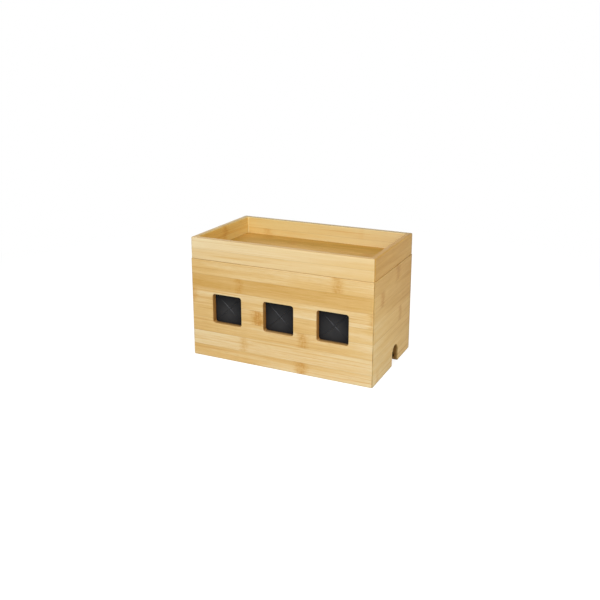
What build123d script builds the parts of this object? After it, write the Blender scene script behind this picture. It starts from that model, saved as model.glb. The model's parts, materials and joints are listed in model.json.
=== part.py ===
"""Bamboo cable management box.

A power strip and its plugs lie in the body, under a lift-off lid whose top is a shallow tray.
Three rubber ports in the front let charging cables out through crossed slits, and an arched
notch at the foot of each end wall lets the mains lead in.

X runs along the length, Y from front to back and Z up. The origin is the middle of the
footprint, on the surface that the box stands on. Sizes are in millimetres.
"""

import os
from math import hypot

from build123d import *

# ---- outside sizes
LENGTH = 300.0
DEPTH = 172.0
BODY_HEIGHT = 157.0
LID_HEIGHT = 33.5
LID_SETBACK = 0.5           # how far the lid's faces stand behind the body's

# ---- boards
WALL = 9.0                  # thickness of the body's four panels
RAIL = 9.0                  # thickness of the lid's four rails
BOTTOM_BOARD = 5.0          # thickness of the board that the power strip stands on
TRAY_BOARD = 5.0            # thickness of the tray's floor
CORNER_RADIUS = 3.0         # upright outside corners, body and lid
FOOT_RADIUS = 0.8           # edges of the body's foot
SEAM_RADIUS = 1.0           # edges that meet at the seam between body and lid
RIM_RADIUS = 2.0            # top edges of the tray

# ---- bottom board, in a groove round the inside of the body
BOTTOM_RAISE = 5.0          # from the foot to the groove
GROOVE_DEPTH = 3.0
BOARD_PLAY = 0.2            # room for a board in its groove or rebate

# ---- tray floor, whose tongue is glued up into a rebate round the inside of the lid
TRAY_RAISE = 1.0            # from the seam to the underside of the tray floor
TRAY_TONGUE = 3.0           # thickness of the tongue
REBATE_DEPTH = 3.0

# ---- battens under the tray floor, which centre the lid on the body
BATTEN_WIDTH = 8.0
BATTEN_DROP = 7.0           # reach below the seam
BATTEN_CHAMFER = 1.5        # lead-in on the lower outside edge
LID_CLEARANCE = 0.75        # between a batten and the wall beside it

# ---- cable ports in the front panel
PORT_NAMES = ("left", "middle", "right")
PORT_PITCH = 87.5
PORT_WIDTH = 50.0
PORT_HEIGHT = 47.0
PORT_CORNER_RADIUS = 4.0
PORT_CENTRE_HEIGHT = 81.0   # above the surface that the box stands on
PORT_EDGE_RADIUS = 0.5      # eased front edge of a port

# ---- rubber sheet behind each port, cut into four flaps
SHEET = 1.6                 # thickness
FLANGE = 9.0                # glued border beyond the port's edge
FLANGE_CORNER_RADIUS = 6.0
HINGE_INSET = 4.5           # from the port's edge to the slits' ends, and so to the lines that the flaps bend on
SLIT = 0.4                  # width of the crossed slits
FLAP_GAP = 0.3              # between a flap's rounded root and what is beside it

# ---- mains lead notch in each end wall
NOTCH_WIDTH = 27.0
NOTCH_HEIGHT = 30.5
NOTCH_SETBACK = 13.5        # centre of the notch behind the middle of the wall
NOTCH_EDGE_RADIUS = 0.5
CUTOUT_MARGIN = 8.0         # how far the bottom board's cut-out is wider than the notch, each side
CUTOUT_DEPTH = 16.0         # how far it reaches in from the wall's inside face

# ---- sizes that follow from those above
INNER_LENGTH = LENGTH - 2 * WALL
INNER_DEPTH = DEPTH - 2 * WALL
LID_LENGTH = LENGTH - 2 * LID_SETBACK
LID_DEPTH = DEPTH - 2 * LID_SETBACK
TRAY_LENGTH = LID_LENGTH - 2 * RAIL
TRAY_DEPTH = LID_DEPTH - 2 * RAIL
FRONT_INSIDE_Y = -INNER_DEPTH / 2
TRAY_UNDERSIDE = BODY_HEIGHT + TRAY_RAISE
HINGE_Y = FRONT_INSIDE_Y + SHEET / 2
HINGE_HALF_WIDTH = PORT_WIDTH / 2 - HINGE_INSET
HINGE_HALF_HEIGHT = PORT_HEIGHT / 2 - HINGE_INSET
ROOT_ROOM = SHEET / 2 + FLAP_GAP    # from a hinge line to the border, and to the root of the next flap

# ---- modelling allowances
SPARE = 5.0                 # how far a cutting tool runs past what it cuts
TOUCH = 0.001               # nearer than this counts as touching


def on_base(shape, z):
    """A shape that was made with its underside at Z 0, lifted to z."""
    return Pos(0, 0, z) * shape


def ring(length, depth, wall, height, corner_radius):
    """Four walls in one piece, standing on Z 0, with rounded upright corners."""
    outline = RectangleRounded(length, depth, corner_radius)
    hollow = Rectangle(length - 2 * wall, depth - 2 * wall)
    return extrude(outline - hollow, height)


def mitred(walls, length, depth, wall, height):
    """The ring's front, back, left and right boards, parted at 45 degrees in each corner."""
    far_x, far_y = length / 2 + SPARE, depth / 2 + SPARE
    near_x, near_y = length / 2 - wall - SPARE, depth / 2 - wall - SPARE
    along = Polygon((-far_x, -far_y), (far_x, -far_y), (near_x, -near_y), (-near_x, -near_y), align=None)
    across = Polygon((far_x, -far_y), (far_x, far_y), (near_x, near_y), (near_x, -near_y), align=None)
    front = Pos(0, 0, -SPARE) * extrude(along, height + 2 * SPARE)
    right = Pos(0, 0, -SPARE) * extrude(across, height + 2 * SPARE)
    return {
        "front": walls & front,
        "back": walls & Rot(Z=180) * front,
        "left": walls & Rot(Z=180) * right,
        "right": walls & right,
    }


def slab(length, depth, thickness):
    """A flat board with its underside on Z 0."""
    return Box(length, depth, thickness, align=(Align.CENTER, Align.CENTER, Align.MIN))


def body_walls():
    """The body's ring of panels, with the groove for the bottom board."""
    walls = ring(LENGTH, DEPTH, WALL, BODY_HEIGHT, CORNER_RADIUS)
    walls = fillet(walls.faces().sort_by(Axis.Z)[-1].edges(), SEAM_RADIUS)
    walls = fillet(walls.faces().sort_by(Axis.Z)[0].edges(), FOOT_RADIUS)
    groove = slab(
        INNER_LENGTH + 2 * GROOVE_DEPTH,
        INNER_DEPTH + 2 * GROOVE_DEPTH,
        BOTTOM_BOARD + BOARD_PLAY,
    )
    return walls - on_base(groove, BOTTOM_RAISE)


def port_centres():
    """Port name, and the X of its centre."""
    middle = (len(PORT_NAMES) - 1) / 2
    return [(name, (i - middle) * PORT_PITCH) for i, name in enumerate(PORT_NAMES)]


def port_windows():
    """The three openings, as tools that run through the front panel."""
    outline = RectangleRounded(PORT_WIDTH, PORT_HEIGHT, PORT_CORNER_RADIUS)
    front = -DEPTH / 2 - SPARE
    tools = []
    for _, x in port_centres():
        place = Plane(origin=(x, front, PORT_CENTRE_HEIGHT), x_dir=(1, 0, 0), z_dir=(0, -1, 0))
        tools.append(extrude(place * outline, -(WALL + 2 * SPARE)))
    return tools


def front_panel(board):
    for window in port_windows():
        board = board - window
    face = board.faces().sort_by(Axis.Y)[0]
    rims = [edge for wire in face.inner_wires() for edge in wire.edges()]
    return fillet(rims, PORT_EDGE_RADIUS)


def notch(side):
    """Arched notch through the foot of an end wall. side is -1 at the left and 1 at the right."""
    radius = NOTCH_WIDTH / 2
    spring_line = NOTCH_HEIGHT - radius
    x = side * (LENGTH - WALL) / 2
    reach = WALL + 2 * SPARE
    jambs = Pos(x, NOTCH_SETBACK, (spring_line - SPARE) / 2) * Box(reach, NOTCH_WIDTH, spring_line + SPARE)
    arch = Pos(x, NOTCH_SETBACK, spring_line) * Rot(Y=90) * Cylinder(radius, reach)
    return jambs + arch


def end_panel(board, side):
    opening = notch(side)
    board = board - opening
    outside = board.faces().sort_by(Axis.X)[0 if side < 0 else -1]
    rims = [edge for edge in outside.edges() if opening.distance_to(edge @ 0.5) < TOUCH]
    return fillet(rims, NOTCH_EDGE_RADIUS)


def bottom_board():
    """Floor of the body. It lies in the groove, and is cut back beside each notch."""
    board = slab(
        INNER_LENGTH + 2 * (GROOVE_DEPTH - BOARD_PLAY),
        INNER_DEPTH + 2 * (GROOVE_DEPTH - BOARD_PLAY),
        BOTTOM_BOARD,
    )
    reach = GROOVE_DEPTH + CUTOUT_DEPTH
    cutout = Box(reach, NOTCH_WIDTH + 2 * CUTOUT_MARGIN, BOTTOM_BOARD + 2 * SPARE)
    for side in (-1, 1):
        x = side * (INNER_LENGTH / 2 + GROOVE_DEPTH - reach / 2)
        board = board - Pos(x, NOTCH_SETBACK, BOTTOM_BOARD / 2) * cutout
    return on_base(board, BOTTOM_RAISE)


def lid_walls():
    """The lid's ring of rails, with the rebate for the tray floor in its inside lower edge."""
    walls = ring(LID_LENGTH, LID_DEPTH, RAIL, LID_HEIGHT, CORNER_RADIUS)
    walls = fillet(walls.faces().sort_by(Axis.Z)[-1].edges(), RIM_RADIUS)
    foot = walls.faces().sort_by(Axis.Z)[0]
    walls = fillet(foot.outer_wire().edges(), SEAM_RADIUS)
    rebate = slab(
        TRAY_LENGTH + 2 * REBATE_DEPTH,
        TRAY_DEPTH + 2 * REBATE_DEPTH,
        TRAY_RAISE + TRAY_TONGUE,
    )
    return walls - rebate


def tray_board():
    """The tray's floor, which fills the tray between the rails, with the tongue round its edge."""
    tongue = slab(
        TRAY_LENGTH + 2 * (REBATE_DEPTH - BOARD_PLAY),
        TRAY_DEPTH + 2 * (REBATE_DEPTH - BOARD_PLAY),
        TRAY_TONGUE,
    )
    floor = slab(TRAY_LENGTH - 2 * BOARD_PLAY, TRAY_DEPTH - 2 * BOARD_PLAY, TRAY_BOARD)
    return on_base(tongue + floor, TRAY_UNDERSIDE)


def battens():
    """Four strips under the tray floor, a little clear of the body's walls."""
    length = INNER_LENGTH - 2 * LID_CLEARANCE
    depth = INNER_DEPTH - 2 * LID_CLEARANCE
    height = TRAY_RAISE + BATTEN_DROP
    frame = slab(length, depth, height)
    frame = chamfer(frame.faces().sort_by(Axis.Z)[0].edges(), BATTEN_CHAMFER)
    frame = frame - slab(length - 2 * BATTEN_WIDTH, depth - 2 * BATTEN_WIDTH, height)
    frame = on_base(frame, BODY_HEIGHT - BATTEN_DROP)
    y = (depth - BATTEN_WIDTH) / 2
    strip = Box(length + SPARE, BATTEN_WIDTH, 2 * (BODY_HEIGHT + LID_HEIGHT))
    front = frame & Pos(0, -y, 0) * strip
    back = frame & Pos(0, y, 0) * strip
    between = frame - Pos(0, -y, 0) * strip - Pos(0, y, 0) * strip
    left, right = between.solids().sort_by(Axis.X)
    return {"front": front, "back": back, "left": left, "right": right}


def port_plane(x):
    """Plane of a port's rubber sheet, seen from the front, with its origin at the port's centre."""
    return Plane(origin=(x, FRONT_INSIDE_Y, PORT_CENTRE_HEIGHT), x_dir=(1, 0, 0), z_dir=(0, -1, 0))


def port_border(x):
    """The uncut border of a port's sheet, glued to the panel and reaching in as far as the slits' ends."""
    outline = RectangleRounded(PORT_WIDTH + 2 * FLANGE, PORT_HEIGHT + 2 * FLANGE, FLANGE_CORNER_RADIUS)
    hole = Rectangle(2 * (HINGE_HALF_WIDTH + ROOT_ROOM), 2 * (HINGE_HALF_HEIGHT + ROOT_ROOM))
    return extrude(port_plane(x) * (outline - hole), -SHEET)


def flap(half_side, reach):
    """One flap, with its hinge line on local X and its tip towards +Y, centred on Z 0.

    half_side is half of the hinge rectangle's side, and reach the distance from the hinge line to
    the crossing of the slits."""
    end = half_side - ROOT_ROOM
    setback = SLIT / 2 * hypot(half_side, reach) / half_side
    shoulder = reach * (1 - end / half_side) - setback
    tip = reach - setback
    outline = Polygon((-end, 0), (end, 0), (end, shoulder), (0, tip), (-end, shoulder), align=None)
    plate = Pos(0, 0, -SHEET / 2) * extrude(outline, SHEET)
    root = Rot(Y=90) * Cylinder(SHEET / 2, 2 * end)
    return plate + root


def port_flaps(x):
    """A port's four flaps, by side. Each one's local X axis lies on the line that it bends on."""
    z = PORT_CENTRE_HEIGHT
    tall = flap(HINGE_HALF_WIDTH, HINGE_HALF_HEIGHT)
    wide = flap(HINGE_HALF_HEIGHT, HINGE_HALF_WIDTH)
    sides = {
        "top": (tall, (x, HINGE_Y, z + HINGE_HALF_HEIGHT), (1, 0, 0)),
        "bottom": (tall, (x, HINGE_Y, z - HINGE_HALF_HEIGHT), (-1, 0, 0)),
        "left": (wide, (x - HINGE_HALF_WIDTH, HINGE_Y, z), (0, 0, 1)),
        "right": (wide, (x + HINGE_HALF_WIDTH, HINGE_Y, z), (0, 0, -1)),
    }
    return {
        side: Plane(origin=origin, x_dir=hinge, z_dir=(0, 1, 0)) * solid
        for side, (solid, origin, hinge) in sides.items()
    }


def build():
    """Every piece of the box, by name."""
    pieces = {}

    body = mitred(body_walls(), LENGTH, DEPTH, WALL, BODY_HEIGHT)
    pieces["front_panel"] = front_panel(body["front"])
    pieces["back_panel"] = body["back"]
    pieces["left_panel"] = end_panel(body["left"], -1)
    pieces["right_panel"] = end_panel(body["right"], 1)
    pieces["bottom_board"] = bottom_board()

    lid = mitred(lid_walls(), LID_LENGTH, LID_DEPTH, RAIL, LID_HEIGHT)
    for side, rail in lid.items():
        pieces[f"lid_{side}_rail"] = on_base(rail, BODY_HEIGHT)
    pieces["tray_board"] = tray_board()
    for side, batten in battens().items():
        pieces[f"lid_{side}_batten"] = batten

    for name, x in port_centres():
        pieces[f"{name}_port_border"] = port_border(x)
        for side, solid in port_flaps(x).items():
            pieces[f"{name}_port_{side}_flap"] = solid
    return pieces


def export(pieces):
    os.makedirs("parts", exist_ok=True)
    for name, piece in pieces.items():
        export_step(Compound(children=list(piece.solids())), f"parts/{name}.step")


export(build())
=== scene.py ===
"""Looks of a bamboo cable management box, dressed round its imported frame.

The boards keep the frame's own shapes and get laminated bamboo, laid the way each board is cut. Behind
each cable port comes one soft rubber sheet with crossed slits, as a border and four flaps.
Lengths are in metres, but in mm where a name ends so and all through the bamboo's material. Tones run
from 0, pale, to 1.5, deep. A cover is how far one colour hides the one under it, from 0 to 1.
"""
import json
import math
import random

import bpy
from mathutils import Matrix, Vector


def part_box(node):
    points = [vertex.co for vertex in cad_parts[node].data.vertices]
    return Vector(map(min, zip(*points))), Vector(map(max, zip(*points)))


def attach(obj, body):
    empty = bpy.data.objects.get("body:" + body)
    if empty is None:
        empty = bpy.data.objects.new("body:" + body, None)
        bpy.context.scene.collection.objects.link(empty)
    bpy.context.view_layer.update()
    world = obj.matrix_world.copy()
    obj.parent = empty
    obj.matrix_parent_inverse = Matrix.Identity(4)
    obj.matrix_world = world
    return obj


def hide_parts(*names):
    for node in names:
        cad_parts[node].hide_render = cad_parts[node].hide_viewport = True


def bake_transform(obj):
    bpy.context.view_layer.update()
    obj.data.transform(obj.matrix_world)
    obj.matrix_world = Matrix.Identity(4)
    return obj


MM = 0.001

# ---- camera
CAMERA_AZIMUTH = 25.52          # degrees round to the right from the front
CAMERA_ELEVATION = 14.19        # degrees above the horizon
CAMERA_DISTANCE = 1.2083        # from the lens to CAMERA_AIM
CAMERA_AIM = (-0.0226, 0.0372, 0.1712)
LENS_MM = 45.14
SENSOR_MM = 36.0
SHIFT_Y = -0.1                  # of the sensor's width

# ---- light
SKY_STRENGTH = 0.32             # what the white room gives the object
LAMP_AIM = (0, 0, 0.09)         # the middle of the box
KEY_LIGHT = {"azimuth": 6, "elevation": 50, "distance": 1.9, "size": 1.8, "power": 24}
SIDE_LIGHT = {"azimuth": 52, "elevation": 28, "distance": 1.1, "size": 0.8, "power": 3.15}
REAR_LIGHT = {"azimuth": 215, "elevation": 30, "distance": 2.2, "size": 1.8, "power": 8}

# ---- floor
WHITE = "#FFFFFF"
PAPER_WHITE = "#E6E6E6"
FLOOR_SIZE = 8.0
FLOOR_GLOW = 0.78               # of white, so that only the contact shadow is left to see
FLOOR_SHADE = 0.42              # how much of the floor's own light shows over that
SWEEP_FROM = 0.35               # from here out the floor turns plain white,
SWEEP_TO = 0.9                  # as it is from here on

# ---- how a board is cut: axes along the grain, across its strips and through its plies (0 X, 1 Y, 2 Z)
LENGTHWISE = (0, 2, 1)
CROSSWISE = (1, 2, 0)
LYING = (0, 1, 2)

# ---- how a board is built up, in real sizes
STRIP_MM = 23.0                 # a split cane planed flat
RAIL_STRIP_MM = 17.0
PLY_MM = 3.006                  # three to a board, and a hair over, so that its far face is in the third
PLY_STAGGER = 0.5               # of a strip, from one ply to the next
PLY_STRIDE = 3.0                # places down its board's list of strips, from one ply to the next
FACE_MM = 0.8                   # what lies no deeper than this belongs to a board's face

# ---- grain: length and width of each kind of mark in mm, and how many finer sizes ride on it
GRAIN = {
    "drift": (150, 14, 1.0),                # slow change along the cane
    "bands": (95, 3.4, 2.0),
    "flecks": (14, 1.3, 2.0),
    "fibres": (26, 0.6, 3.0),               # drawn as bundles, for a single fibre is too fine to show
    "streaks": (190, 2.6, 1.0),             # a few long dark ones
    "hairs": (16, 0.45, 3.0),               # brown bundles
    "knuckle_wander": (60, 6.0, 1.0),       # how a knuckle's line wanders off the straight
    "knuckle_brush": (90, 1.6, 2.0),        # how far it brushes out along the cane
    "knuckle_dashes": (5.0, 0.9, 2.0),
    "knuckle_strokes": (1.8, 7.0, 2.0),     # these lie across the cane
}
GRAIN_SHOWS = {     # the values of its noise at which a mark starts to show, and at which it is whole
    "streaks": (0.58, 0.76), "hairs": (0.6, 0.74), "knuckle_brush": (0.35, 0.68),
    "knuckle_dashes": (0.38, 0.62), "knuckle_strokes": (0.42, 0.62),
}
GRAIN_DEPTH = {"drift": 0.65, "bands": 0.5, "flecks": 0.3, "fibres": 0.4}      # in tone
GRAIN_ROUGHNESS = 0.6
GRAIN_SHIFT_MM = 500            # a board starts at a place of its own within this much of the pattern,
GRAIN_JUMP_MM = 613.0           # and its strips are spread over this much of it
STREAK_DEPTH = 0.28             # in tone
HAIR_COVER = 0.4
HAIR_COVER_IN_KNUCKLE = 0.45    # on top of that

# ---- knuckles of the cane
KNUCKLE_PITCH_MM = 300.0        # from one to the next
KNUCKLE_BOW_MM = 8.0            # times the square of the way off the strip's middle, in strips
KNUCKLE_WANDER_MM = 8.0
KNUCKLE_START_MM = 5.0          # what bow and wander add up to, on the whole
KNUCKLE_BRUSH_MM = (9.0, 20.0)  # how far its dashes reach out along the cane, at least and at most
KNUCKLE_BREADTH = (0.5, 0.7)    # of that, in the faintest knuckle, and what full strength adds to it
KNUCKLE_DASHES = (0.25, 0.8)    # strength between two dashes, and in a dash
KNUCKLE_STROKES = 0.45
KNUCKLE_DEPTH = 0.65            # in tone
KNUCKLE_COVER = 0.6

# ---- colours of the wood
CANE_TONES = ("#EEDAAE", "#E0BC7C", "#CEA155", "#B38A3A")       # evenly, from pale to honey brown
GOLDEN_IN_SHADE_TONES = ("#EFD58D", "#E8BF68", "#CD9842", "#AD7A2E")     # a golden copy of the tones, for painted warm shade
DEEPEST_TONE = 1.5
FIBRE_BROWN = "#A0661E"
KNUCKLE_BROWN = "#C88C48"
END_GRAIN_BROWN = {"front_panel": "#A06820", "others": "#623806"}
GLUE_BROWN = "#94682C"
# painted shade deep in the ports and in the panels' grooves
RECESS_SHADE_BROWN = "#3A2208"
MILLED_BROWN = "#A86A18"
EDGE_SHADE_BROWN = "#6A5C40"       # painted shade on a panel's lower edge and rear corners, and darker front corners
SEAM_BROWN = "#3E2A12"
LACQUER_BEAD = "#F8E6A8"

# ---- glue
STRIP_LINE_MM = 0.22
STRIP_LINE_COVER = 0.22
PLY_LINE = (0.02, 0.09)         # from where to where the line between two plies fades, in plies
PLY_LINE_COVER = 0.5
MITRE_LINE_MM = 1.0
MITRE_COVER = {"least": 0.12, "panel": 0.75, "others": 0.3}
SQUEEZED_OUT_MM = 26.0          # from one place where glue was squeezed out of a mitre to the next

# ---- cut edges. A mark comes or goes while the surface turns to face an axis, from 0, edge on, to 1,
# squarely. Pairs such as the next say over which part of that turn.
OWN_FACE = (0.2, 0.6)           # from an edge cut into a board to the board's own face
JAMB = (0.3, 0.8)               # from a port's sill or lintel to its jambs
END_FACE = (0.5, 0.9)
MILLED_COVER = 0.45
PORT_SHADE_FROM_MM = {"sill": 1.8, "jamb": 8.2}     # how deep in a port the painted shade starts
PORT_SHADE_TO_MM = 9.4              # and where it would be whole
PORT_SHADE_COVER = 0.9
END_SOAK_MM = (0.8, 3.5)        # how deep end grain starts to darken, and where it is darkest
END_COVER = (0.45, 0.72)
GROOVE_MM = 3.0                 # how deep the bottom board sits in the panels
GROOVE_SHADE_MM = (0.3, 0.1)     # painted shade starts this far before the groove, and is whole this far in
GROOVE_COVER = 0.9

# ---- painted shade on edges, rims and seams, and a bead of lacquer
OUTER_SIDE = (0.3, 0.8)         # of a board's thickness, over which the painted shade of its outside runs out
FOOT_MM = (0.6, 2.6)            # height over which the painted shade along a foot runs out
FOOT_SHADE = {"front_panel": 0.2, "right_panel": 0.5, "left_panel": 0.5, "back_panel": 0.35}
CORNER_MM = 1.0                 # from the mitre, where a corner's darkening starts to run out
FRONT_CORNER_MM = 3.2           # and where it has run out
REAR_CORNER_MM = {"face": 9.0, "rim": 24.0}
FRONT_CORNER_DARKENING = 0.25        # the panels', for the rails have none
# painted shade on the rear corners, which turn away from the light
REAR_CORNER_SHADE = 0.5
RIM = (0.4, 0.95)               # from a rail's side to its top edge
RIM_SHADE = {                    # painted shade on a rail's top edge: its colour and its cover
    "lid_front_rail": ("#B28226", 0.50), "lid_right_rail": ("#B0822A", 0.70),
    "lid_left_rail": ("#7E683A", 0.40), "lid_back_rail": ("#7C6430", 0.55),
}
SEAM_MM = 3.0                   # how far down a panel the seam's shade may lie
SEAM_EDGE = (0.15, 0.4)         # from a panel's side to its rounded top edge
SEAM_FLAT = (0.95, 0.99)        # from there to the flat of its top
SEAM_SHADE = {                  # from a panel's low end to its high end
    "front_panel": (0.15, 0.0), "right_panel": (0.0, 0.3), "others": (0.1, 0.1),
}
BEAD_MM = (1.2, 2.4)            # from the tray's corner, over which the bead of lacquer runs out
BEAD_COVER = 0.75

# ---- surface of the wood
LACQUERED = {"roughness": 0.46, "specular": 0.16}
BARE = {"roughness": 0.62, "specular": 0.12}
ROUGHNESS_SPREAD = (-0.04, 0.06)
KNUCKLE_RELIEF = 0.8            # of the fibres' own
GLUE_RELIEF = -2.0              # sunk below them
RELIEF_MM = 0.1
RELIEF_STRENGTH = 0.3
MOST_OF_NOISE = (0.3, 0.7)      # nearly all of a noise's values lie in between,
MIDDLE_OF_NOISE = (0.35, 0.65)  # and most of them here

# ---- each board's own look
# Strips down from a board's top or back edge: tone, how much deeper it is at the strip's lower edge than
# at its upper one, and at the board's high end than at its low end, the knuckle's place along the board
# in mm, and the knuckle's strength
STRIPS = {
    "front_panel": [
        (0.44, 0.22, -0.08, 243, 0.55), (0.76, -0.15, -0.18, 83, 0.40), (0.35, 0.00, -0.10, 300, 0.50),
        (0.49, 0.05, -0.10, 115, 0.95), (0.45, 0.25, -0.34, 189, 0.60), (0.23, 0.00, -0.03, 89, 0.35),
        (0.38, -0.18, -0.28, 186, 0.75),
    ],
    "right_panel": [
        (0.80, 0.00, 0.30, 102, 0.60), (0.78, -0.10, 0.45, 35, 0.60), (0.72, -0.10, 0.45, 230, 0.00),
        (0.62, 0.10, 0.30, 118, 0.50), (0.54, 0.00, 0.45, 280, 0.00), (0.46, 0.05, 0.30, 250, 0.00),
        (0.36, 0.00, 0.45, 20, 0.30),
    ],
    "lid_front_rail": [(0.21, 0.12, 0.32, 150, 0.00), (0.32, 0.02, 0.12, 150, 0.00)],
    "lid_back_rail": [(0.06, 0.00, -0.10, 46, 0.35), (0.08, 0.00, -0.10, 215, 0.12)],
    "lid_left_rail": [(0.32, 0.10, -0.40, 83, 0.45), (0.38, 0.00, -0.40, 86, 0.40)],
    "lid_right_rail": [(0.88, 0.00, -0.15, 150, 0.00), (0.90, 0.00, -0.20, 150, 0.00)],
    "tray_board": [
        (1.25, 0.20, 0.20, 50, 0.40), (1.38, 0.00, 0.20, 106, 0.70), (1.30, 0.00, 0.10, 240, 0.50),
        (1.35, 0.10, 0.00, 20, 0.40), (1.25, 0.00, 0.10, 170, 0.50), (1.34, 0.00, 0.00, 280, 0.40),
        (1.30, 0.00, 0.10, 90, 0.50),
    ],
}
# The other boards' strips are drawn round a middle tone, this much to either side
MIDDLE_TONE = {"back_panel": 0.45, "left_panel": 0.45, "bottom_board": 0.6, "battens": 0.55}
DRAWN_TONE = 0.12
DRAWN_LEAN = 0.15
DRAWN_DRIFT = 0.2
DRAWN_KNUCKLE = (0.3, 0.75)     # strength, at the least and at the most
FIBRE_CONTRAST = {              # how strongly the fibres show, where that isn't 1
    "lid_front_rail": 0.45, "lid_back_rail": 0.7, "right_panel": 0.75, "lid_right_rail": 0.7,
    "tray_board": 1.6,
}
GOLDEN_IN_SHADE = {                      # painted warm shade: how golden an outer face is, where it isn't 0
    "right_panel": 0.4, "left_panel": 0.4, "lid_right_rail": 0.5, "lid_left_rail": 0.5,
}
GOLDEN_IN_SHADE_INSIDE = {"lid_back_rail": (0.9, 0.35)}      # an inner face, from its low end to its high end: the painted shade is deepest at the tray's left end

# ---- rubber sheet
SLIT_MM = 0.12
LIP_MM = 0.5                    # rounding of the cut edges at the flaps' tips
LIP_AT_ROOT = 0.3               # of that
LIP_AT_MOST = {"width": 0.8, "thickness": 0.4}      # of the flap's half width, and of its thickness
LEAST_LIP_MM = 0.01
LIP_ARC = (-60, -30)            # degrees
ROOT_MM = 0.8                   # the sheet starts to bend this far outside the hinge line
FLANGE_CORNER_MM = 6.0
FLANGE_CORNER_STEPS = 8
TIP_HALF_WIDTH_MM = 0.2
GLINT_FROM = {"top": 0.12, "bottom": 0.35, "left": 0.12, "right": 0.35}   # where the painted glint on a lip starts: share of the flap's reach
SAG_MM = {"top": 0.5, "bottom": 0.25, "left": 0.15, "right": 0.65}
ROWS = 22
ROW_CROWDING = 1.15             # over 1, so that rows lie closer together near the root
COLUMNS = 16
SHARP_FROM = 50                 # degrees between two faces
BACKWARDS = Vector((0, 1, 0))   # into the box, through a sheet

# ---- rubber: its own black, the grey of the light painted on it, and round which spot off the port's centre
# the sheet: a painted pool of light, leaving its edges in painted shade
PORT_RUBBER = {"black": "#242527", "painted_light": "#383839", "spot_mm": (-3, -6), "reach_mm": 28}
# the lips of one slit: a painted glint
SLIT_GLINT = {"black": "#2E2F31", "painted_light": "#74767A", "spot_mm": (-3, 3), "reach_mm": 22}
PAINTED_LIGHT_WHOLE = 0.12          # share of the reach within which the painted light is whole
PATCHY = 0.7                    # how much of the painted light is left between two patches
PATCH_MM = 14.0
TOOTH_MM = 0.45                 # the mould's texture, drawn coarser than it is so that it shows
RUBBER_ROUGHNESS = (0.52, 0.68)
RUBBER_SPECULAR = 0.06


# ------------------------------------------------------------------ shader helpers
def linear(hex_colour):
    """An sRGB colour, such as #E2BF82, as the linear RGBA that a shader takes."""
    channels = [int(hex_colour[i:i + 2], 16) / 255 for i in (1, 3, 5)]
    return [c / 12.92 if c <= 0.04045 else ((c + 0.055) / 1.055) ** 2.4 for c in channels] + [1.0]


def add(tree, kind, inputs=None, **settings):
    """Adds a shader node. inputs maps a socket's name or number to its value, or to what feeds it."""
    node = tree.nodes.new("ShaderNode" + kind)
    for name, value in settings.items():
        setattr(node, name, value)
    for key, value in (inputs or {}).items():
        socket = node.inputs[key] if isinstance(key, int) else next(
            s for s in node.inputs if s.enabled and s.name == key)
        if isinstance(value, bpy.types.Node):
            value = next(s for s in value.outputs if s.enabled)
        if isinstance(value, bpy.types.NodeSocket):
            tree.links.new(value, socket)
        else:
            socket.default_value = value
    return node


def new_material(name):
    material = bpy.data.materials.new(name)
    material.use_nodes = True
    material.node_tree.nodes.clear()
    return material, material.node_tree


# ------------------------------------------------------------------ bamboo: boards and their strips
def strips_of(name, count):
    """What each strip of a board is like: listed for the boards in STRIPS, and drawn for the others."""
    if name in STRIPS:
        return STRIPS[name]
    chance = random.Random(name)
    tone = MIDDLE_TONE.get(name, MIDDLE_TONE["battens"])
    strips = []
    for _ in range(count):
        strips.append((
            chance.uniform(tone - DRAWN_TONE, tone + DRAWN_TONE),
            chance.uniform(-DRAWN_LEAN, DRAWN_LEAN),
            chance.uniform(-DRAWN_DRIFT, DRAWN_DRIFT),
            chance.uniform(0, KNUCKLE_PITCH_MM),
            chance.uniform(*DRAWN_KNUCKLE),
        ))
    return strips


def picked(tree, number, rows):
    """The one of several rows of four values that a number from 0 to 1 picks."""
    ramp = add(tree, "ValToRGB", {0: number})
    ramp.color_ramp.interpolation = "CONSTANT"
    stops = ramp.color_ramp.elements
    stops.remove(stops[1])
    for i, row in enumerate(rows):
        stop = stops[0] if i == 0 else stops.new(i / len(rows))
        stop.color = row
    return ramp


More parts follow.
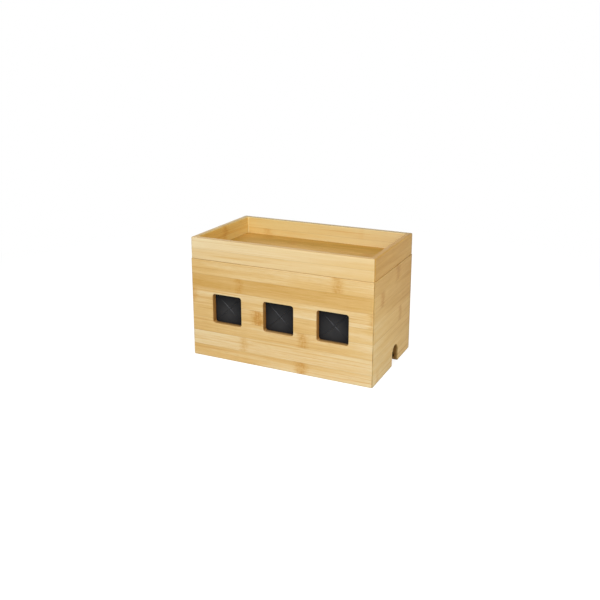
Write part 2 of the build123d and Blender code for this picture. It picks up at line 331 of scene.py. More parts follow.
class Board:
    """A board, and what its material knows of a point: where it lies, and what its strip is like."""

    def __init__(self, name, cut, strip_mm):
        self.name = name
        self.along, self.across, self.through = cut
        self.strip_mm = strip_mm
        self.low, self.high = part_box(name)
        self.thickness = (self.high[self.through] - self.low[self.through]) / MM
        self.panel = name.endswith("_panel")
        self.rail = name.endswith("_rail")
        self.contrast = FIBRE_CONTRAST.get(name, 1.0)
        self.material, self.tree = new_material(f"bamboo_{name}")
        self.find_place()
        self.find_strip()
        self.find_grain()

    def find_place(self):
        """The place, the way that the surface faces, the depth under the board's outer face, and the run
        along the board, from -0.5 at its low end to 0.5 at its high end."""
        tree = self.tree
        at = add(tree, "TexCoord").outputs
        self.place = add(tree, "VectorMath", {0: at["Object"], "Scale": 1 / MM}, operation="SCALE")
        self.axes = add(tree, "SeparateXYZ", {0: self.place}).outputs
        self.facing = add(tree, "SeparateXYZ", {0: at["Normal"]}).outputs
        outer_face = max(self.low[self.through], self.high[self.through], key=abs) / MM
        depth = add(tree, "Math", {0: self.axes[self.through], 1: outer_face}, operation="SUBTRACT")
        self.depth = add(tree, "Math", {0: depth}, operation="ABSOLUTE")
        self.run = add(tree, "MapRange", {
            "Value": self.axes[self.along],
            "From Min": self.low[self.along] / MM, "From Max": self.high[self.along] / MM,
            "To Min": -0.5, "To Max": 0.5,
        })

    def find_strip(self):
        """Plies are counted inwards from the outer face, and strips down from the top or back edge. What
        a strip is like is looked up by its number."""
        tree = self.tree
        self.plies = add(tree, "Math", {0: self.depth, 1: PLY_MM}, operation="DIVIDE")
        ply = add(tree, "Math", {0: self.plies}, operation="FLOOR")
        top = self.high[self.across] / MM
        below = add(tree, "Math", {0: top, 1: self.axes[self.across]}, operation="SUBTRACT")
        rows = add(tree, "Math", {0: below, 1: self.strip_mm}, operation="DIVIDE")
        self.rows = add(tree, "Math", {0: ply, 1: PLY_STAGGER, 2: rows}, operation="MULTIPLY_ADD")
        row = add(tree, "Math", {0: self.rows}, operation="FLOOR")
        inside = add(tree, "Math", {0: self.rows}, operation="FRACT")
        self.off_middle = add(tree, "Math", {0: inside, 1: 0.5}, operation="SUBTRACT")

        width_mm = (self.high[self.across] - self.low[self.across]) / MM
        strips = strips_of(self.name, max(2, math.ceil(width_mm / self.strip_mm)))
        count = float(len(strips))
        number = add(tree, "Math", {0: ply, 1: PLY_STRIDE, 2: row}, operation="MULTIPLY_ADD")
        number = add(tree, "Math", {0: number, 1: 0.5}, operation="ADD")
        number = add(tree, "Math", {0: number, 1: count, 2: 0.0}, operation="WRAP")
        self.number = add(tree, "Math", {0: number, 1: count}, operation="DIVIDE")

        # values under 0 can't be looked up, so lean and drift are half up in the rows
        looks = picked(tree, self.number, [
            (tone, knuckle_mm / KNUCKLE_PITCH_MM, strength, 0.5 + lean)
            for tone, lean, _, knuckle_mm, strength in strips
        ])
        drifts = picked(tree, self.number, [(0.5 + drift,) * 3 + (1.0,) for _, _, drift, _, _ in strips])
        channels = add(tree, "SeparateColor", {0: looks}).outputs
        self.tone, self.knuckle_at, self.knuckle_strength = channels[:3]
        self.lean = add(tree, "Math", {0: looks.outputs["Alpha"], 1: 0.5}, operation="SUBTRACT")
        self.drift = add(tree, "Math", {0: drifts, 1: 0.5}, operation="SUBTRACT")

    def find_grain(self):
        """The place along, across and through the fibres, moved on from strip to strip."""
        tree = self.tree
        shift = random.Random(self.name + " shift").uniform(0, GRAIN_SHIFT_MM)
        jump = add(tree, "Math", {0: self.number, 1: GRAIN_JUMP_MM, 2: shift}, operation="MULTIPLY_ADD")
        moved = add(tree, "Math", {0: self.axes[self.along], 1: jump}, operation="ADD")
        self.grain = add(tree, "CombineXYZ", {
            0: moved, 1: self.axes[self.across], 2: self.axes[self.through],
        })

    def marks(self, kind):
        """Noise from 0 to 1, drawn out along the fibres to the size of one kind of mark."""
        length_mm, width_mm, detail = GRAIN[kind]
        scale = (1 / length_mm, 1 / width_mm, 1 / width_mm)
        stretched = add(self.tree, "VectorMath", {0: self.grain, 1: scale}, operation="MULTIPLY")
        return add(self.tree, "TexNoise", {
            "Vector": stretched, "Scale": 1.0, "Detail": detail, "Roughness": GRAIN_ROUGHNESS,
        })

    def shown(self, kind, least, most):
        """The least between marks of a kind, and the most where they are whole."""
        starts, whole = GRAIN_SHOWS[kind]
        return add(self.tree, "MapRange", {
            "Value": self.marks(kind), "From Min": starts, "From Max": whole,
            "To Min": least, "To Max": most,
        })

    def on_inner_face(self):
        """1 on the board's inner face, and 0 elsewhere."""
        starts = self.thickness - FACE_MM
        return add(self.tree, "Math", {0: self.depth, 1: starts}, operation="GREATER_THAN")

    def on_outer_side(self):
        """1 on the board's outer face, running out towards its inner one."""
        return add(self.tree, "MapRange", {
            "Value": self.depth,
            "From Min": self.thickness * OUTER_SIDE[0], "From Max": self.thickness * OUTER_SIDE[1],
            "To Min": 1.0, "To Max": 0.0,
        })

    def from_mitre(self):
        """Distance from the nearest mitre. |x| - |y| is the same in every mitre of the body and lid."""
        tree = self.tree
        mitre_at = (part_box("right_panel")[1].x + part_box("front_panel")[0].y) / MM
        far_x = add(tree, "Math", {0: self.axes[0]}, operation="ABSOLUTE")
        far_y = add(tree, "Math", {0: self.axes[1]}, operation="ABSOLUTE")
        off = add(tree, "Math", {0: far_x, 1: far_y}, operation="SUBTRACT")
        off = add(tree, "Math", {0: off, 1: mitre_at}, operation="SUBTRACT")
        return add(tree, "Math", {0: off}, operation="ABSOLUTE")


# ------------------------------------------------------------------ bamboo: cane
def knuckles(board):
    """A soft deeper patch right across the strip, broken into short dashes and a few upright strokes."""
    tree = board.tree
    bowed = add(tree, "Math", {0: board.off_middle, 1: 2.0}, operation="POWER")
    bowed = add(tree, "Math", {0: bowed, 1: KNUCKLE_BOW_MM, 2: board.axes[board.along]},
                operation="MULTIPLY_ADD")
    bowed = add(tree, "Math", {0: board.marks("knuckle_wander"), 1: KNUCKLE_WANDER_MM, 2: bowed},
                operation="MULTIPLY_ADD")
    start = board.low[board.along] / MM + KNUCKLE_START_MM
    cane = add(tree, "Math", {0: bowed, 1: start}, operation="SUBTRACT")
    cane = add(tree, "Math", {0: cane, 1: KNUCKLE_PITCH_MM}, operation="DIVIDE")
    cane = add(tree, "Math", {0: cane, 1: board.knuckle_at}, operation="SUBTRACT")
    off = add(tree, "Math", {0: cane, 1: 0.5}, operation="PINGPONG")
    off = add(tree, "Math", {0: off, 1: KNUCKLE_PITCH_MM}, operation="MULTIPLY")

    reach = board.shown("knuckle_brush", *KNUCKLE_BRUSH_MM)
    faintest, added = KNUCKLE_BREADTH
    strength = board.knuckle_strength
    breadth = add(tree, "Math", {0: strength, 1: added, 2: faintest}, operation="MULTIPLY_ADD")
    reach = add(tree, "Math", {0: reach, 1: breadth}, operation="MULTIPLY")
    patch = add(tree, "Math", {0: off, 1: reach}, operation="DIVIDE")
    patch = add(tree, "MapRange", {"Value": patch, "To Min": 1.0, "To Max": 0.0},
                interpolation_type="SMOOTHSTEP")

    dashes = board.shown("knuckle_dashes", *KNUCKLE_DASHES)
    strokes = board.shown("knuckle_strokes", 0.0, KNUCKLE_STROKES)
    knuckle = add(tree, "Math", {0: dashes, 1: strokes}, operation="ADD")
    knuckle = add(tree, "Math", {0: knuckle, 1: patch}, operation="MULTIPLY")
    return add(tree, "Math", {0: knuckle, 1: strength}, operation="MULTIPLY")


def cane_tone(board, fibres, streak, knuckle):
    """The strip's own tone, deeper towards one edge and one end, with slow drift, bands, flecks, fibres,
    streaks and knuckles. It comes as a share of the deepest."""
    tree = board.tree
    tone = board.tone
    for change, place in ((board.lean, board.off_middle), (board.drift, board.run)):
        tone = add(tree, "Math", {0: change, 1: place, 2: tone}, operation="MULTIPLY_ADD")
    for kind, depth in GRAIN_DEPTH.items():
        noise = fibres if kind == "fibres" else board.marks(kind)
        noise = add(tree, "Math", {0: noise, 1: 0.5}, operation="SUBTRACT")
        depth = depth * board.contrast
        tone = add(tree, "Math", {0: noise, 1: depth, 2: tone}, operation="MULTIPLY_ADD")
    tone = add(tree, "Math", {0: tone, 1: streak}, operation="ADD")
    tone = add(tree, "Math", {0: knuckle, 1: KNUCKLE_DEPTH, 2: tone}, operation="MULTIPLY_ADD")
    return add(tree, "Math", {0: tone, 1: DEEPEST_TONE}, operation="DIVIDE")


def cane_colour(tree, tone, hex_colours):
    """The colour of the cane at a share of the deepest tone."""
    ramp = add(tree, "ValToRGB", {0: tone})
    stops = ramp.color_ramp.elements
    stops.remove(stops[1])
    for i, hex_colour in enumerate(hex_colours):
        stop = stops[0] if i == 0 else stops.new(i / (len(hex_colours) - 1))
        stop.color = linear(hex_colour)
    return ramp.outputs["Color"]


def in_golden_shade(board, colour, tone):
    """Painted warm shade: turns the box's side faces and the rails' inner faces round the tray golden.
    """
    tree = board.tree
    low_end, high_end = GOLDEN_IN_SHADE_INSIDE.get(board.name, (float(board.rail), float(board.rail)))
    inside = add(tree, "MapRange", {
        "Value": board.run, "From Min": -0.5, "From Max": 0.5, "To Min": low_end, "To Max": high_end,
    })
    golden_shade = add(tree, "MapRange", {
        "Value": board.on_inner_face(), "To Min": GOLDEN_IN_SHADE.get(board.name, 0.0), "To Max": inside,
    })
    golden = cane_colour(tree, tone, GOLDEN_IN_SHADE_TONES)
    return add(tree, "Mix", {"Factor": golden_shade, "A": colour, "B": golden}, data_type="RGBA")


def brown_marks(board, streak, knuckle):
    """Streaks and knuckles are brown as well as deep, and brown hairs run along the cane. This gives the
    cover of each mark, and its colour."""
    tree = board.tree
    brown = add(tree, "Math", {0: knuckle, 1: KNUCKLE_COVER, 2: streak}, operation="MULTIPLY_ADD")
    most = add(tree, "Math", {0: knuckle, 1: HAIR_COVER_IN_KNUCKLE, 2: HAIR_COVER},
               operation="MULTIPLY_ADD")
    most = add(tree, "Math", {0: most, 1: board.contrast}, operation="MULTIPLY")
    return [(brown, KNUCKLE_BROWN), (board.shown("hairs", 0.0, most), FIBRE_BROWN)]


# ------------------------------------------------------------------ bamboo: glue
def glue_lines(board):
    """Glue between strips, and between plies where a cut edge shows them."""
    tree = board.tree
    strip_line = add(tree, "Math", {0: board.rows, 1: 0.5}, operation="PINGPONG")
    strip_line = add(tree, "Math", {0: strip_line, 1: board.strip_mm}, operation="MULTIPLY")
    strip_line = add(tree, "MapRange", {
        "Value": strip_line, "From Min": STRIP_LINE_MM / 2, "From Max": STRIP_LINE_MM * 2,
        "To Min": STRIP_LINE_COVER, "To Max": 0.0,
    })
    ply_line = add(tree, "Math", {0: board.plies, 1: 0.5}, operation="PINGPONG")
    ply_line = add(tree, "MapRange", {
        "Value": ply_line, "From Min": PLY_LINE[0], "From Max": PLY_LINE[1],
        "To Min": PLY_LINE_COVER, "To Max": 0.0,
    })
    faces = {"GREATER_THAN": FACE_MM, "LESS_THAN": board.thickness - FACE_MM}
    for comparison, face in faces.items():
        between = add(tree, "Math", {0: board.depth, 1: face}, operation=comparison)
        ply_line = add(tree, "Math", {0: ply_line, 1: between}, operation="MULTIPLY")
    return add(tree, "Math", {0: strip_line, 1: ply_line}, operation="MAXIMUM")


def mitre_glue(board, from_mitre):
    """The line of a mitre, broader and darker where glue was squeezed out of it."""
    tree = board.tree
    most = MITRE_COVER["panel" if board.panel else "others"]
    scale = 1 / SQUEEZED_OUT_MM
    squeezed = add(tree, "TexNoise", {"Vector": board.place, "Scale": scale, "Detail": 1.0})
    squeezed = add(tree, "MapRange", {
        "Value": squeezed, "From Min": MIDDLE_OF_NOISE[0], "From Max": MIDDLE_OF_NOISE[1],
        "To Min": MITRE_COVER["least"], "To Max": most,
    })
    return add(tree, "MapRange", {
        "Value": from_mitre, "From Min": MITRE_LINE_MM / 2, "From Max": MITRE_LINE_MM,
        "To Min": squeezed, "To Max": 0.0,
    })


# ------------------------------------------------------------------ bamboo: cut edges, and painted shade on edges and in recesses
# Each of these, too, gives the cover of a mark, and its colour.


def milled_ports(board):
    """A milled port is browner than the face, and has painted shade towards its inner end, more on
    its sill and lintel than on its jambs."""
    tree = board.tree
    face_on = add(tree, "Math", {0: board.facing[board.through]}, operation="ABSOLUTE")
    milled = add(tree, "MapRange", {
        "Value": face_on, "From Min": OWN_FACE[0], "From Max": OWN_FACE[1],
        "To Min": MILLED_COVER, "To Max": 0.0,
    })
    jamb = add(tree, "Math", {0: board.facing[board.along]}, operation="ABSOLUTE")
    starts = add(tree, "MapRange", {
        "Value": jamb, "From Min": JAMB[0], "From Max": JAMB[1],
        "To Min": PORT_SHADE_FROM_MM["sill"], "To Max": PORT_SHADE_FROM_MM["jamb"],
    })
    port_shade = add(tree, "MapRange", {
        "Value": board.depth, "From Min": starts, "From Max": PORT_SHADE_TO_MM, "To Max": PORT_SHADE_COVER,
    })
    port_shade = add(tree, "MapRange", {
        "Value": face_on, "From Min": OWN_FACE[0], "From Max": OWN_FACE[1],
        "To Min": port_shade, "To Max": 0.0,
    })
    return [(milled, MILLED_BROWN), (port_shade, RECESS_SHADE_BROWN)]


def soaked_ends(board):
    """End grain drinks the lacquer and goes darker."""
    tree = board.tree
    soaked = add(tree, "MapRange", {
        "Value": board.depth, "From Min": END_SOAK_MM[0], "From Max": END_SOAK_MM[1],
        "To Min": END_COVER[0], "To Max": END_COVER[1],
    })
    end = add(tree, "Math", {0: board.facing[board.along]}, operation="ABSOLUTE")
    end = add(tree, "MapRange", {
        "Value": end, "From Min": END_FACE[0], "From Max": END_FACE[1], "To Max": soaked,
    })
    return end, END_GRAIN_BROWN.get(board.name, END_GRAIN_BROWN["others"])


def shaded_groove(board):
    """Painted shade in the groove that holds the bottom board."""
    tree = board.tree
    before, past = GROOVE_SHADE_MM
    low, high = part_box("bottom_board")
    middle = (low.z + high.z) / 2 / MM
    half = (high.z - low.z) / 2 / MM + before
    groove = add(tree, "Math", {0: board.axes[2], 1: middle, 2: half}, operation="COMPARE")
    deep = add(tree, "MapRange", {
        "Value": board.depth,
        "From Min": board.thickness - GROOVE_MM - before, "From Max": board.thickness - GROOVE_MM + past,
        "To Max": GROOVE_COVER,
    })
    return add(tree, "Math", {0: groove, 1: deep}, operation="MULTIPLY"), RECESS_SHADE_BROWN


def shaded_foot(board):
    """Painted shade along a panel's lower edge, where it turns down to the floor."""
    tree = board.tree
    foot = add(tree, "MapRange", {
        "Value": board.axes[2], "From Min": FOOT_MM[0], "From Max": FOOT_MM[1],
        "To Min": FOOT_SHADE[board.name], "To Max": 0.0,
    })
    outside = board.on_outer_side()
    return add(tree, "Math", {0: foot, 1: outside}, operation="MULTIPLY"), EDGE_SHADE_BROWN


def shaded_seam(board):
    """Shade gathers on a panel's rounded top edge, in the seam under the lid."""
    tree = board.tree
    low_end, high_end = SEAM_SHADE.get(board.name, SEAM_SHADE["others"])
    shade = add(tree, "MapRange", {
        "Value": board.run, "From Min": -0.5, "From Max": 0.5, "To Min": low_end, "To Max": high_end,
    })
    turned_up = add(tree, "MapRange", {
        "Value": board.facing[2], "From Min": SEAM_EDGE[0], "From Max": SEAM_EDGE[1], "To Max": shade,
    })
    not_flat = add(tree, "MapRange", {
        "Value": board.facing[2], "From Min": SEAM_FLAT[0], "From Max": SEAM_FLAT[1],
        "To Min": 1.0, "To Max": 0.0,
    })
    lowest = board.high.z / MM - SEAM_MM
    near_top = add(tree, "Math", {0: board.axes[2], 1: lowest}, operation="GREATER_THAN")
    seam = add(tree, "Math", {0: turned_up, 1: not_flat}, operation="MULTIPLY")
    return add(tree, "Math", {0: seam, 1: near_top}, operation="MULTIPLY"), SEAM_BROWN


def shaded_rim(board):
    """Painted shade on a rail's rounded top edge."""
    brown, cover = RIM_SHADE[board.name]
    rim = add(board.tree, "MapRange", {
        "Value": board.facing[2], "From Min": RIM[0], "From Max": RIM[1], "To Max": cover,
    })
    return rim, brown


def darkened_corners(board, from_mitre):
    """Darkens the upright corners of the box's ends: painted shade on the rear ones, which turn away
    from the light, reaching further in on the rim, and a lighter darkening beside the panels' front
    ones."""
    tree = board.tree
    rear = add(tree, "Math", {0: board.axes[1], 1: 0.0}, operation="GREATER_THAN")
    rear_reach = add(tree, "MapRange", {
        "Value": board.facing[2], "From Min": RIM[0], "From Max": RIM[1],
        "To Min": REAR_CORNER_MM["face"], "To Max": REAR_CORNER_MM["rim"],
    })
    reach = add(tree, "MapRange", {"Value": rear, "To Min": FRONT_CORNER_MM, "To Max": rear_reach})
    front_darkening = FRONT_CORNER_DARKENING if board.panel else 0.0
    darkening = add(tree, "MapRange", {"Value": rear, "To Min": front_darkening, "To Max": REAR_CORNER_SHADE})
    corner = add(tree, "MapRange", {
        "Value": from_mitre, "From Min": CORNER_MM, "From Max": reach, "To Min": darkening, "To Max": 0.0,
    })
    outside = board.on_outer_side()
    return add(tree, "Math", {0: corner, 1: outside}, operation="MULTIPLY"), EDGE_SHADE_BROWN


def lacquer_bead(board):
    """A bead of lacquer stands in the tray's back left corner."""
    tree = board.tree
    corner = board.low.x / MM + board.thickness
    bead = add(tree, "MapRange", {
        "Value": board.axes[0], "From Min": corner + BEAD_MM[0], "From Max": corner + BEAD_MM[1],
        "To Min": BEAD_COVER, "To Max": 0.0,
    })
    inside = board.on_inner_face()
    return add(tree, "Math", {0: bead, 1: inside}, operation="MULTIPLY"), LACQUER_BEAD


# ------------------------------------------------------------------ bamboo: the material
def bamboo(name, cut, finish, strip_mm):
    """Laminated bamboo: planed strips of split cane glued edge to edge in plies, sanded and lacquered.
    The eye gets long soft fibres, tone that changes from strip to strip, brushy brown knuckles, and
    plies on cut edges."""
    board = Board(name, cut, strip_mm)
    tree = board.tree
    fibres = board.marks("fibres")
    streak = board.shown("streaks", 0.0, STREAK_DEPTH * board.contrast)
    knuckle = knuckles(board)
    tone = cane_tone(board, fibres, streak, knuckle)
    colour = cane_colour(tree, tone, CANE_TONES)
    if board.panel or board.rail:
        colour = in_golden_shade(board, colour, tone)
    glue = glue_lines(board)
    if cut != LYING:
        from_mitre = board.from_mitre()
        mitre = mitre_glue(board, from_mitre)
        glue = add(tree, "Math", {0: glue, 1: mitre}, operation="MAXIMUM")

    # from the undermost to the uppermost
    marks = brown_marks(board, streak, knuckle)
    if name == "front_panel":
        marks += milled_ports(board)
    marks += [soaked_ends(board), (glue, GLUE_BROWN)]
    if board.panel:
        marks += [shaded_groove(board), shaded_foot(board), shaded_seam(board)]
    if board.rail:
        marks.append(shaded_rim(board))
    if cut == CROSSWISE and (board.panel or board.rail):
        marks.append(darkened_corners(board, from_mitre))
    if name == "lid_back_rail":
        marks.append(lacquer_bead(board))
    for cover, brown in marks:
        colour = add(tree, "Mix", {"Factor": cover, "A": colour, "B": linear(brown)}, data_type="RGBA")

    smoothest, roughest = (finish["roughness"] + spread for spread in ROUGHNESS_SPREAD)
    roughness = add(tree, "MapRange", {
        "Value": fibres, "From Min": MOST_OF_NOISE[0], "From Max": MOST_OF_NOISE[1],
        "To Min": smoothest, "To Max": roughest,
    })
    height = add(tree, "Math", {0: knuckle, 1: KNUCKLE_RELIEF, 2: fibres}, operation="MULTIPLY_ADD")
    height = add(tree, "Math", {0: glue, 1: GLUE_RELIEF, 2: height}, operation="MULTIPLY_ADD")
    relief = add(tree, "Bump", {
        "Height": height, "Strength": RELIEF_STRENGTH, "Distance": RELIEF_MM * MM,
    })
    surface = add(tree, "BsdfPrincipled", {
        "Base Color": colour, "Roughness": roughness, "Normal": relief,
        "Specular IOR Level": finish["specular"],
    })
    add(tree, "OutputMaterial", {"Surface": surface})
    return board.material


def dress_boards(frame):
    looks = {}
    sides = {"front": LENGTHWISE, "back": LENGTHWISE, "left": CROSSWISE, "right": CROSSWISE}
    for side, cut in sides.items():
        looks[f"{side}_panel"] = (cut, LACQUERED, STRIP_MM)
        looks[f"lid_{side}_rail"] = (cut, LACQUERED, RAIL_STRIP_MM)
        looks[f"lid_{side}_batten"] = (cut, BARE, RAIL_STRIP_MM)
    looks["tray_board"] = (LYING, LACQUERED, STRIP_MM)
    looks["bottom_board"] = (LYING, BARE, STRIP_MM)
    for name, (cut, finish, strip_mm) in looks.items():
        mesh = frame["nodes"][name].data
        mesh.materials.clear()
        mesh.materials.append(bamboo(name, cut, finish, strip_mm))


# ------------------------------------------------------------------ rubber
def port_rubber(name, centres, black, painted_light, spot_mm, reach_mm):
    """Moulded black rubber sheet. The eye gets a matte black with the fine tooth of its mould, and a
    patchy painted light, greyer round a spot and fading away from it."""
    material, tree = new_material(name)
    place = add(tree, "TexCoord").outputs["Object"]
    tooth = add(tree, "TexNoise", {"Vector": place, "Scale": 1 / (TOOTH_MM * MM), "Detail": 2.0})
    patches = add(tree, "TexNoise", {"Vector": place, "Scale": 1 / (PATCH_MM * MM), "Detail": 3.0})

    # the spot of painted light lies alike in every port, so x is wrapped round the ports' pitch
    pitch = centres["middle"].x - centres["left"].x
    axes = add(tree, "SeparateXYZ", {0: place}).outputs
    aside = add(tree, "Math", {0: axes[0], 1: pitch / 2, 2: -pitch / 2}, operation="WRAP")
    aside = add(tree, "Math", {0: aside, 1: spot_mm[0] * MM}, operation="SUBTRACT")
    spot_height = centres["middle"].z + spot_mm[1] * MM
    above = add(tree, "Math", {0: axes[2], 1: spot_height}, operation="SUBTRACT")
    away = add(tree, "CombineXYZ", {0: aside, 2: above})
    away = add(tree, "VectorMath", {0: away}, operation="LENGTH").outputs["Value"]
    greyed = add(tree, "MapRange", {
        "Value": away, "From Min": PAINTED_LIGHT_WHOLE * reach_mm * MM, "From Max": reach_mm * MM,
        "To Min": 1.0, "To Max": 0.0,
    }, interpolation_type="SMOOTHSTEP")
    patchy = add(tree, "MapRange", {
        "Value": patches, "From Min": MIDDLE_OF_NOISE[0], "From Max": MIDDLE_OF_NOISE[1],
        "To Min": PATCHY,
    })
    greyed = add(tree, "Math", {0: greyed, 1: patchy}, operation="MULTIPLY")
    colour = add(tree, "Mix", {
        "Factor": greyed, "A": linear(black), "B": linear(painted_light),
    }, data_type="RGBA")

    roughness = add(tree, "MapRange", {
        "Value": tooth, "From Min": MOST_OF_NOISE[0], "From Max": MOST_OF_NOISE[1],
        "To Min": RUBBER_ROUGHNESS[0], "To Max": RUBBER_ROUGHNESS[1],
    })
    relief = add(tree, "Bump", {
        "Height": tooth, "Strength": RELIEF_STRENGTH, "Distance": RELIEF_MM * MM,
    })
    surface = add(tree, "BsdfPrincipled", {
        "Base Color": colour, "Roughness": roughness, "Normal": relief,
        "Specular IOR Level": RUBBER_SPECULAR,
    })
    add(tree, "OutputMaterial", {"Surface": surface})
    return material


def new_piece(name, points, faces, materials):
    mesh = bpy.data.meshes.new(name)
    mesh.from_pydata(points, [], faces)
    for material in materials:
        mesh.materials.append(material)
    mesh.polygons.foreach_set("use_smooth", [True] * len(mesh.polygons))
    mesh.set_sharp_from_angle(angle=math.radians(SHARP_FROM))
    piece = bpy.data.objects.new(name, mesh)
    bpy.context.collection.objects.link(piece)
    return piece


def smooth(value):
    """Eases from 0 to 1."""
    value = min(max(value, 0.0), 1.0)
    return value * value * (3 - 2 * value)


def sheet_border(name, centre, inner, outer, front, back, materials):
    """The glued border of a port's sheet: a rounded rectangle with a square hole where the flaps begin.
    inner and outer are half its hole's and its own width and height."""
    radius = FLANGE_CORNER_MM * MM
    steps = FLANGE_CORNER_STEPS
    hole, rounded = [], []
    for sign_x, sign_z, start in ((1, 1, 0), (-1, 1, 90), (-1, -1, 180), (1, -1, 270)):
        hole.append((sign_x * inner[0], sign_z * inner[1]))
        for i in range(steps + 1):
            angle = math.radians(start + 90 * i / steps)
            rounded.append((sign_x * (outer[0] - radius) + radius * math.cos(angle),
                            sign_z * (outer[1] - radius) + radius * math.sin(angle)))
    flat = hole + rounded
    faces = []
    for corner in range(4):
        following = (corner + 1) % 4
        first, first_of_following = (4 + k * (steps + 1) for k in (corner, following))
        faces += [(corner, first + i, first + i + 1) for i in range(steps)]
        faces.append((corner, first + steps, first_of_following, following))
    count = len(flat)
    rim = list(range(4, count))
    points = [(centre.x + x, y, centre.z + z) for y in (front, back) for x, z in flat]
    behind = [tuple(count + i for i in reversed(face)) for face in faces]
    walls = [(a, b, b + count, a + count) for a, b in zip(rim, rim[1:] + rim[:1])]
    walls += [(b, a, a + count, b + count) for a, b in ((0, 1), (1, 2), (2, 3), (3, 0))]
    return new_piece(name, points, [tuple(reversed(f)) for f in faces + behind + walls], materials)


def flap_section(half, edge, thickness):
    """A flap cut across, as points across and through it: front, right lip, back and left lip."""
    flat = half - edge
    face = thickness / 2
    arc = [math.radians(angle) for angle in LIP_ARC]
    front = [(-flat + 2 * flat * i / COLUMNS, -face) for i in range(COLUMNS + 1)]
    right_lip = [(flat + edge * math.cos(t), -face + edge + edge * math.sin(t)) for t in arc]
    right_lip += [(half, -face + edge), (half, face - edge)]
    right_lip += [(flat + edge * math.cos(-t), face - edge + edge * math.sin(-t)) for t in reversed(arc)]
    back = [(flat - 2 * flat * i / COLUMNS, face) for i in range(COLUMNS + 1)]
    left_lip = [(-across, through) for across, through in reversed(right_lip)]
    return front + right_lip + back + left_lip


def hinge_axes(joint):
    """The middle of a flap's hinge line, the way along it, and the way from it into the port."""
    along = Vector(joint["axis"])
    return Vector(joint["pos_m"]), along, BACKWARDS.cross(along)


def sheet_flap(name, side, joint, half_side, reach, thickness, materials):
    """One flap of a port's sheet, lofted in cross-sections from its root to its tip. Its cut edges are
    rounded, and it sags a little towards its tip. Only its lip on the slit that falls to the right gets
    a painted glint."""
    hinge, along, inwards = hinge_axes(joint)
    root, slit, lip = ROOT_MM * MM, SLIT_MM * MM, LIP_MM * MM
    slope = math.hypot(half_side, reach) / reach
    last = reach * (1 - (TIP_HALF_WIDTH_MM * MM + slit / 2 * slope) / half_side)
    stations = [-root, -root / 2]
    stations += [last * (i / (ROWS - 1)) ** ROW_CROWDING for i in range(ROWS)]
    points, loops = [], []
    for b in stations:
        opened = smooth((b + root) / (3 * root))
        out = max(b, 0) / reach
        half = half_side * (1 - out) - min(b, 0) - opened * slit / 2 * slope
        edge = lip * opened * (LIP_AT_ROOT + (1 - LIP_AT_ROOT) * out) + LEAST_LIP_MM * MM
        edge = min(edge, half * LIP_AT_MOST["width"], thickness * LIP_AT_MOST["thickness"])
        dip = SAG_MM[side] * MM * smooth(b / reach)
        start = len(points)
        for a, c in flap_section(half, edge, thickness):
            points.append(hinge + along * a + inwards * b + BACKWARDS * (c + dip))
        loops.append(range(start, len(points)))

    count = len(loops[0])
    lip_faces = range(COLUMNS, COLUMNS + 3) if side in ("left", "right") else range(count - 3, count)
    faces, painted_light = [], []
    for b, one, two in zip(stations, loops, loops[1:]):
        faces += [(one[i], two[i], two[(i + 1) % count], one[(i + 1) % count]) for i in range(count)]
        painted_light += [int(i in lip_faces and b > GLINT_FROM[side] * reach) for i in range(count)]
    faces += [tuple(loops[0]), tuple(reversed(loops[-1]))]
    piece = new_piece(name, points, faces, materials)
    piece.data.polygons.foreach_set("material_index", painted_light + [0, 0])
    return piece


def port_sheets(frame):
    """Every port's sheet: a border that rides on the box, and four flaps left where they are built."""
    hinges = {joint["name"]: joint for joint in frame["joints"] if joint["type"] == "hinge"}
    centres = {}
    for port in ("left", "middle", "right"):
        left, right = (Vector(hinges[f"{port}_port_{side}_bend"]["pos_m"]) for side in ("left", "right"))
        centres[port] = (left + right) / 2
    moulded = port_rubber("port_rubber", centres, **PORT_RUBBER)
    painted_light = port_rubber("port_rubber_at_slits", centres, **SLIT_GLINT)
    root = ROOT_MM * MM
    for port, centre in centres.items():
        joints = {side: hinges[f"{port}_port_{side}_bend"] for side in SAG_MM}
        spot = {side: Vector(joint["pos_m"]) for side, joint in joints.items()}
        half_width = (spot["right"] - spot["left"]).length / 2
        half_height = (spot["top"] - spot["bottom"]).length / 2
        low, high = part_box(f"{port}_port_border")
        border = sheet_border(
            f"{port}_port_rubber_border", centre, (half_width + root, half_height + root),
            ((high.x - low.x) / 2, (high.z - low.z) / 2), low.y, high.y, [moulded])
        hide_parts(f"{port}_port_border")
        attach(border, "box")
        for side, joint in joints.items():
            half_side, reach = half_width, half_height
            if side in ("left", "right"):
                half_side, reach = half_height, half_width
            node = f"{port}_port_{side}_flap"
            piece = sheet_flap(f"{port}_port_rubber_{side}", side, joint, half_side, reach,
                               high.y - low.y, [moulded, painted_light])
            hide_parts(node)
            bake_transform(piece)


# ------------------------------------------------------------------ studio
def stand(thing, aim, azimuth, elevation, distance):
    """Stands a lamp or the camera off its aim, so many degrees right of the front and above the
    horizon, and turns it to face the aim."""
    a, e = math.radians(azimuth), math.radians(elevation)
    direction = Vector((math.sin(a) * math.cos(e), -math.cos(a) * math.cos(e), math.sin(e)))
    thing.location = Vector(aim) + direction * distance
    thing.rotation_euler = direction.to_track_quat("Z", "Y").to_euler()
    bpy.context.collection.objects.link(thing)


def seen_directly(tree):
    """1 for what the eye sees, also in a mirror or through glass, and 0 for light going elsewhere."""
    ray = add(tree, "LightPath").outputs
    seen = add(tree, "Math", {0: ray["Is Camera Ray"], 1: ray["Is Glossy Ray"]}, operation="MAXIMUM")
    return add(tree, "Math", {0: seen, 1: ray["Is Transmission Ray"]}, operation="MAXIMUM")


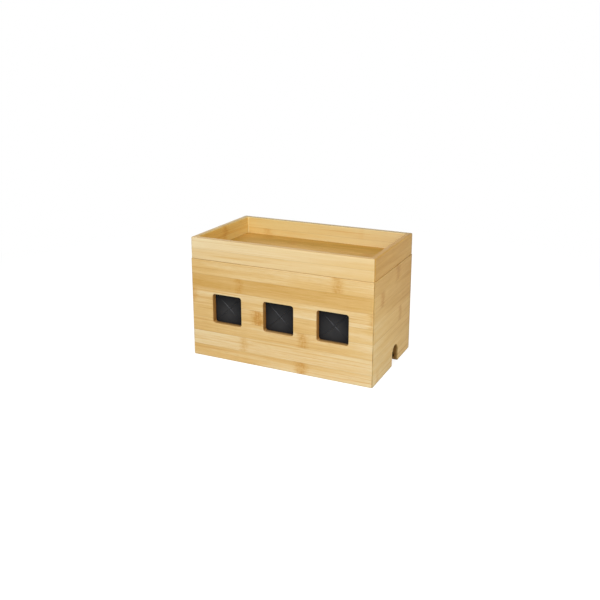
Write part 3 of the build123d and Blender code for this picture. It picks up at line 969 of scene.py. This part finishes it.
def white_room():
    """World that lights the object softly and shows as plain white."""
    world = bpy.data.worlds.new("white_room")
    bpy.context.scene.world = world
    world.use_nodes = True
    tree = world.node_tree
    tree.nodes.clear()
    seen = seen_directly(tree)
    strength = add(tree, "MapRange", {"Value": seen, "To Min": SKY_STRENGTH, "To Max": 1.0})
    background = add(tree, "Background", {"Color": linear(WHITE), "Strength": strength})
    add(tree, "OutputWorld", {"Surface": background})


def white_paper():
    """Matte white paper sweep. The eye gets white wherever the object's shadow doesn't fall, and dark
    within the box's walls, where the paper doesn't glow."""
    material, tree = new_material("white_sweep")
    paper = add(tree, "BsdfDiffuse", {"Color": linear(PAPER_WHITE)})
    place = add(tree, "TexCoord").outputs["Object"]
    axes = add(tree, "SeparateXYZ", {0: place}).outputs
    far_x = add(tree, "Math", {0: axes[0]}, operation="ABSOLUTE")
    far_y = add(tree, "Math", {0: axes[1]}, operation="ABSOLUTE")
    beside_x = add(tree, "Math", {0: far_x, 1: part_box("right_panel")[0].x}, operation="GREATER_THAN")
    beside_y = add(tree, "Math", {0: far_y, 1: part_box("back_panel")[0].y}, operation="GREATER_THAN")
    beside = add(tree, "Math", {0: beside_x, 1: beside_y}, operation="MAXIMUM")
    away = add(tree, "VectorMath", {0: place}, operation="LENGTH").outputs["Value"]
    away = add(tree, "MapRange", {"Value": away, "From Min": SWEEP_FROM, "From Max": SWEEP_TO},
               interpolation_type="SMOOTHSTEP")
    glow = add(tree, "MapRange", {"Value": away, "To Min": FLOOR_GLOW, "To Max": 1.0})
    glow = add(tree, "Math", {0: beside, 1: glow}, operation="MULTIPLY")
    glow = add(tree, "Emission", {"Color": linear(WHITE), "Strength": glow})
    shade = add(tree, "MapRange", {"Value": away, "To Min": FLOOR_SHADE, "To Max": 0.0})
    shade = add(tree, "BsdfDiffuse", {"Color": shade})
    shown = add(tree, "AddShader", {0: glow, 1: shade})
    mixed = add(tree, "MixShader", {0: seen_directly(tree), 1: paper, 2: shown})
    add(tree, "OutputMaterial", {"Surface": mixed})
    return material


def white_floor():
    half = FLOOR_SIZE / 2
    square = [(-half, -half, 0), (half, -half, 0), (half, half, 0), (-half, half, 0)]
    mesh = bpy.data.meshes.new("floor")
    mesh.from_pydata(square, [], [(0, 1, 2, 3)])
    mesh.materials.append(white_paper())
    floor = bpy.data.objects.new("floor", mesh)
    bpy.context.collection.objects.link(floor)


def softbox(name, azimuth, elevation, distance, size, power):
    lamp = bpy.data.lights.new(name, "AREA")
    lamp.size = size
    lamp.energy = power
    stand(bpy.data.objects.new(name, lamp), LAMP_AIM, azimuth, elevation, distance)


def camera():
    data = bpy.data.cameras.new("camera")
    data.lens = LENS_MM
    data.sensor_width = SENSOR_MM
    data.shift_y = SHIFT_Y
    eye = bpy.data.objects.new("camera", data)
    stand(eye, CAMERA_AIM, CAMERA_AZIMUTH, CAMERA_ELEVATION, CAMERA_DISTANCE)
    bpy.context.scene.camera = eye


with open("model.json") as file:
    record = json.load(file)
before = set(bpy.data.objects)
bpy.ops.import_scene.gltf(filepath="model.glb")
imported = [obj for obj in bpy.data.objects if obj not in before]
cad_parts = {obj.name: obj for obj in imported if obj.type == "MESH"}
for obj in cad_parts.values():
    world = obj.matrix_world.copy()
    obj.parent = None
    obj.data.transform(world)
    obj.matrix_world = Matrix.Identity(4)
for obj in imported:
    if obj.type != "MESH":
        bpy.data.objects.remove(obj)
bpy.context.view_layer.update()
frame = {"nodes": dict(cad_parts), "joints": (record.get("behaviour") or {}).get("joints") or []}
bpy.context.scene.view_settings.view_transform = "Standard"
camera()
white_room()
white_floor()
softbox("key_light", **KEY_LIGHT)
softbox("side_light", **SIDE_LIGHT)
softbox("rear_light", **REAR_LIGHT)
dress_boards(frame)
port_sheets(frame)
